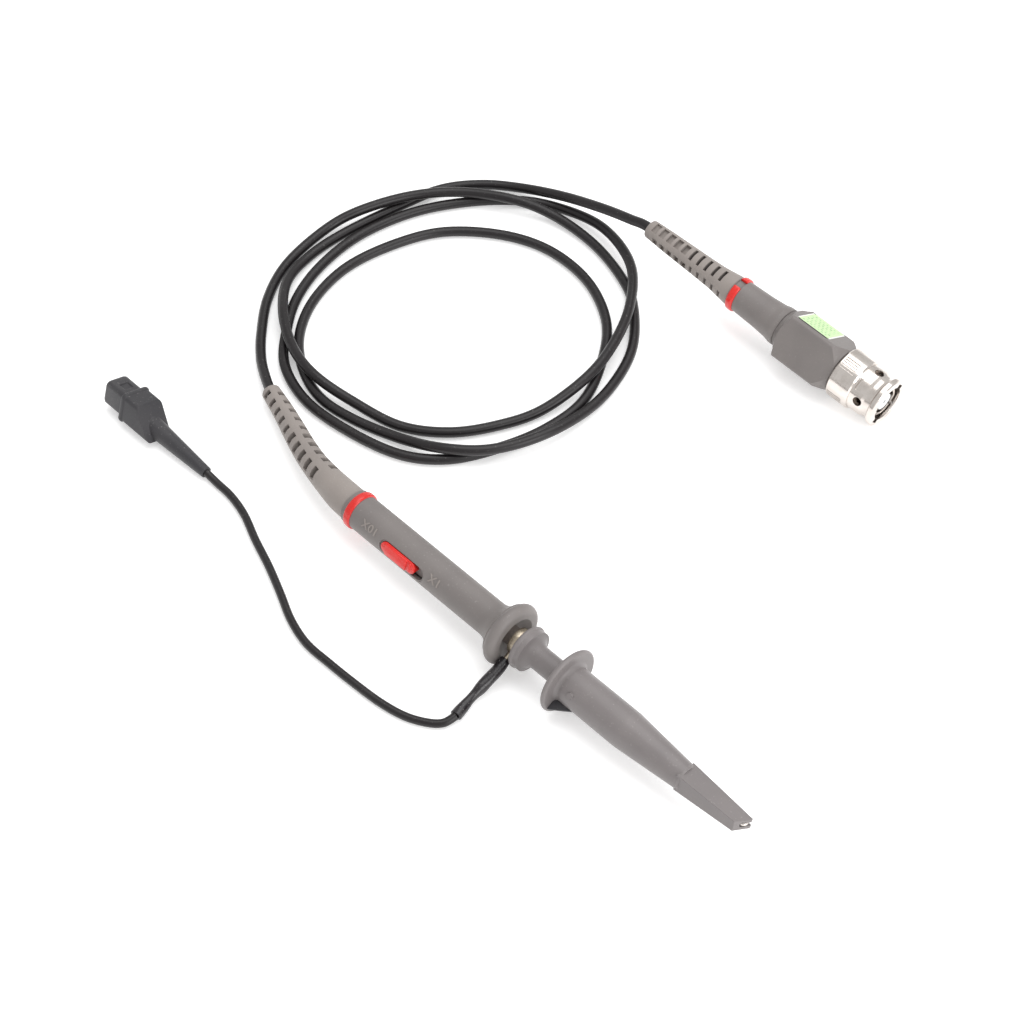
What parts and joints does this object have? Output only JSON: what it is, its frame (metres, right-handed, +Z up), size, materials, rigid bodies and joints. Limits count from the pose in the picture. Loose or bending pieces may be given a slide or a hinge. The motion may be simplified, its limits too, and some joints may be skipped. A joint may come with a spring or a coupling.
{
  "type": "oscilloscope probe",
  "caption": "Passive oscilloscope probe with a sprung hook tip, an attenuation slider, a coiled cable, a bayonet connector and a ground lead with a booted clip.",
  "frame": {"origin": "on the bench under the middle of the probe head's own bounding box", "axes": "+X along the probe head towards the hook tip, +Z up, so +Y is to the left of a person looking along the probe; the bench is z = 0"},
  "size_m": [0.2159, 0.1638, 0.0181],
  "materials": {
    "shell_grey": "fine satin moulding",
    "hook_grey": "fine satin moulding",
    "boot_grey": "soft matt vinyl",
    "marker_red": "glossy moulding",
    "cable_black": "smooth extruded jacket",
    "shrink_black": "heat-shrunk, shiny",
    "clip_black": "soft matt vinyl",
    "label_green": "printed label, plain",
    "board": "solder mask",
    "component": "lacquered",
    "nickel": "bright nickel plate",
    "gold": "gold flash on brass",
    "steel": "drawn wire and pressed sheet",
    "white_insulator": "turned fluoropolymer",
    "seal": "silicone"
  },
  "bodies": {
    "probe": {"handle_shell": "shell_grey", "probe_marker_ring": "marker_red", "circuit_board": "board", "tip_resistor": "component", "tip_capacitor": "component", "ground_barrel": "nickel", "nose_insulator": "white_insulator", "probe_needle": "steel", "probe_boot": "boot_grey", "main_cable": "cable_black", "connector_boot": "boot_grey", "connector_marker_ring": "marker_red", "connector_housing": "shell_grey", "housing_label": "label_green", "connector_board": "board", "trimmer_body": "white_insulator", "bnc_body": "nickel", "bnc_insulator": "white_insulator", "bnc_pin": "gold", "bnc_gasket": "seal", "bnc_retaining_ring": "steel", "bnc_wave_spring": "steel", "ground_clip_ring": "gold", "ground_heat_shrink": "shrink_black", "ground_lead": "cable_black", "clip_boot": "clip_black", "clip_lower_jaw": "steel", "clip_pivot": "steel", "clip_spring": "steel"},
    "slider": {"switch_slider": "marker_red", "switch_contact": "gold"},
    "hook": {"hook_base": "hook_grey", "hook_socket": "gold", "hook_spring": "steel", "hook_wire": "nickel"},
    "sleeve": {"hook_sleeve": "hook_grey"},
    "trimmer": {"trimmer_screw": "gold"},
    "thrust": {"bnc_thrust_washer": "steel"},
    "coupling": {"bnc_coupling": "nickel"},
    "jaw": {"clip_upper_jaw": "steel"}
  },
  "joints": [
    {"name": "slider_slide", "type": "slide", "parent": "probe", "child": "slider", "axis": [1, 0, 0], "range_m": [0, 0.0025]},
    {"name": "hook_pull_off", "type": "slide", "parent": "probe", "child": "hook", "axis": [1, 0, 0], "range_m": [0, 0.012]},
    {"name": "hook_draw_back", "type": "slide", "parent": "hook", "child": "sleeve", "axis": [-1, 0, 0], "range_m": [0, 0.0065], "stiffness_N_per_m": 250, "springref_m": -0.003, "deforming": ["hook_spring"]},
    {"name": "trimmer_turn", "type": "hinge", "parent": "probe", "child": "trimmer", "pos_m": [-0.02142, 0.12271, 0.00815], "axis": [-0.0684, 0.8465, -0.5279], "continuous": true},
    {"name": "coupling_press", "type": "slide", "parent": "probe", "child": "thrust", "axis": [0.9959, 0.0261, -0.0872], "range_m": [0, 0.0006], "stiffness_N_per_m": 2000, "springref_m": -0.0005, "deforming": ["bnc_wave_spring"]},
    {"name": "coupling_turn", "type": "hinge", "parent": "thrust", "child": "coupling", "pos_m": [0.0036, 0.1218, 0.00695], "axis": [0.9959, 0.0261, -0.0872], "continuous": true},
    {"name": "jaw_open", "type": "hinge", "parent": "probe", "child": "jaw", "pos_m": [-0.128, -0.01606, 0.00476], "axis": [0, 0.9511, -0.309], "range_deg": [0, 7], "stiffness_Nm_per_rad": 0.02, "springref_deg": -5.73}
  ]
}
